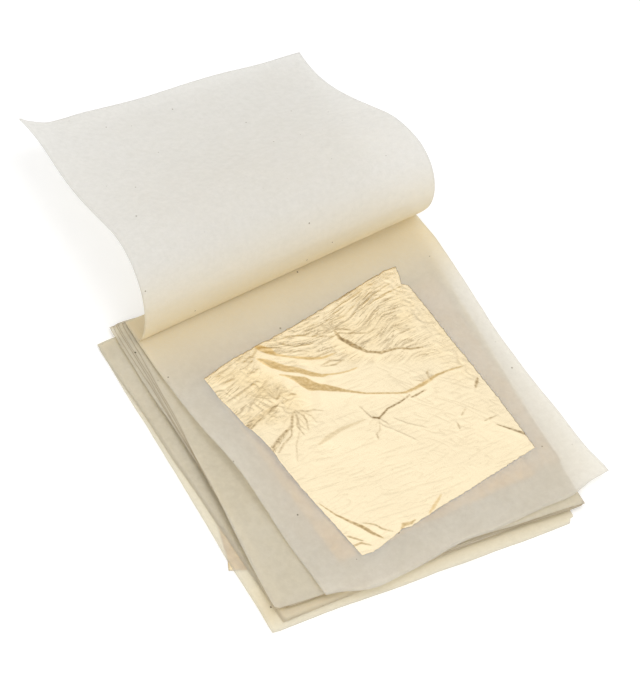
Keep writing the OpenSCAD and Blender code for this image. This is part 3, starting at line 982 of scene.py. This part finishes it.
def hairlines(n):
    """Crisp fine creases drawn as painted shade, each layer where its strength attribute is high.
    """
    lines = 0.0
    for name, heading, length, spacing, width, shade in HAIRLINES:
        place = "flow" if name == "arcs" else "place"
        wave = n.texture(1.0, 1.5, 0.5, (1 / length, 1 / spacing, 1), -heading, place)
        line = n.ramp(n.math("ABSOLUTE", n.math("SUBTRACT", wave, 0.5)), 0.0, width, 1.0, 0.0)
        broken = n.ramp(n.texture(1.0, 2.0, 0.5, (1 / length, 0.5, 1), -heading, place), 0.42, 0.58)
        strong = n.math("MULTIPLY", n.attribute(name, "Fac"), n.math("MULTIPLY", broken, shade))
        lines = n.math("MAXIMUM", lines, n.math("MULTIPLY", line, strong))
    return lines


def gold(name):
    """Beaten gold: pale and bright, with painted shade: tan on steep folds, olive-brown in creases.
    """
    n = Nodes(bpy.data.materials.new(name))
    warm_shade = n.attribute("warm_shade", "Fac")
    cloud, fine = n.texture(*GOLD_CLOUD), n.texture(*GOLD_GRAIN)
    # Painted shade: warmer where crinkled, tan on steep folds, dark in creases and hairlines
    warm = n.math("MULTIPLY", warm_shade, n.ramp(cloud, 0.35, 0.65, 0.45, 1.0))
    colour = n.blend(warm, PALE_GOLD, WARM_SHADE_GOLD)
    colour = n.blend(n.attribute("band", "Fac"), colour, TAN_SHADE_GOLD)
    hair = hairlines(n)
    colour = n.blend(n.math("MAXIMUM", n.attribute("line", "Fac"), hair), colour, CREASE_SHADE_GOLD)
    rise = n.math("SUBTRACT", n.math("MULTIPLY", fine, 0.5), hair)
    normal = n.add("ShaderNodeBump", inputs={**GOLD_BUMP, "Height": rise}).outputs[0]
    inputs = {"Base Color": colour, "Metallic": 1.0, "Normal": normal}
    inputs["Roughness"] = n.ramp(fine, 0.2, 0.8, *GOLD_ROUGHNESS)
    return n.finish(n.add("ShaderNodeBsdfPrincipled", inputs=inputs))


def floor():
    """A pale floor a hair below the part. It looks white to the camera but keeps the shadow."""
    reach = FLOOR_REACH
    corners = [(-reach, -reach), (reach, -reach), (reach, reach), (-reach, reach)]
    mesh = bpy.data.meshes.new("floor")
    mesh.from_pydata([(x, y, FLOOR_LEVEL * MM) for x, y in corners], [], [(0, 1, 2, 3)])
    piece = bpy.data.objects.new("floor", mesh)
    bpy.context.scene.collection.objects.link(piece)
    n = Nodes(bpy.data.materials.new("floor"))
    body = n.add("ShaderNodeBsdfDiffuse", inputs={"Color": FLOOR_TONE})
    seen = n.add("ShaderNodeLightPath").outputs["Is Camera Ray"]
    lift = n.add("ShaderNodeEmission", inputs={"Strength": n.math("MULTIPLY", seen, FLOOR_LIFT)})
    inputs = {0: body.outputs[0], 1: lift.outputs[0]}
    piece.data.materials.append(n.finish(n.add("ShaderNodeAddShader", inputs=inputs)))


def studio():
    """White where the camera looks and a plain level for soft light. What metal shows falls off
    softly towards the floor and towards the camera's side."""
    world = bpy.data.worlds.new("studio")
    bpy.context.scene.world = world
    n = Nodes(world)
    path = n.add("ShaderNodeLightPath")
    seen = n.math("MAXIMUM", path.outputs["Is Camera Ray"], path.outputs["Is Transmission Ray"])
    way = n.add("ShaderNodeTexCoord").outputs["Generated"]
    height = n.add("ShaderNodeSeparateXYZ", inputs={0: way}).outputs["Z"]
    inputs = {0: way, 1: NEAR_SIDE}
    nearer = n.add("ShaderNodeVectorMath", {"operation": "DOT_PRODUCT"}, inputs).outputs["Value"]
    shown = n.math("MULTIPLY", n.ramp(height, *SHOWN_HIGH), n.ramp(nearer, *SHOWN_NEAR))
    strength = n.number(path.outputs["Is Glossy Ray"], SOFT_LIGHT, shown)
    strength = n.number(seen, strength, 1.0)
    background = n.add("ShaderNodeBackground", inputs={"Strength": strength})
    background.inputs["Color"].default_value = (1, 1, 1, 1)
    n.finish(background, "ShaderNodeOutputWorld")


def lamp(name, place, size, power):
    data = bpy.data.lights.new(name, "AREA")
    data.shape = "SQUARE"
    data.size = size
    data.energy = power
    light = bpy.data.objects.new(name, data)
    light.location = place
    light.rotation_euler = (-light.location).to_track_quat("-Z", "Y").to_euler()
    light.visible_glossy = False
    bpy.context.scene.collection.objects.link(light)


def camera():
    data = bpy.data.cameras.new("camera")
    data.lens = CAMERA_LENS
    data.sensor_width = 36
    data.sensor_fit = "AUTO"
    seen = bpy.data.objects.new("camera", data)
    seen.location = CAMERA_PLACE
    seen.rotation_euler = Euler([math.radians(angle) for angle in CAMERA_TURN], "XYZ")
    bpy.context.scene.collection.objects.link(seen)
    bpy.context.scene.camera = seen


def booklet():
    """Every piece with its material, from the top of the stack to its bottom."""
    open_paper = paper("open_tissue", *OPEN_PAPER)
    stack_paper = paper("stack_tissue", *STACK_PAPER)
    open_gold = gold("open_gold")
    rolled_tissue().data.materials.append(paper("rolled_tissue", *ROLL_PAPER))
    open_leaf().data.materials.append(open_gold)
    for number in SHEET_CUTS:
        tissue(number).data.materials.append(open_paper if number == OPEN_SHEET else stack_paper)
    for number in LEAF_PLACES:
        covered_leaf(number).data.materials.append(open_gold)


camera()
floor()
studio()
lamp("key_light", *KEY_LIGHT)
booklet()

bpy.context.scene.view_settings.view_transform = "Standard"
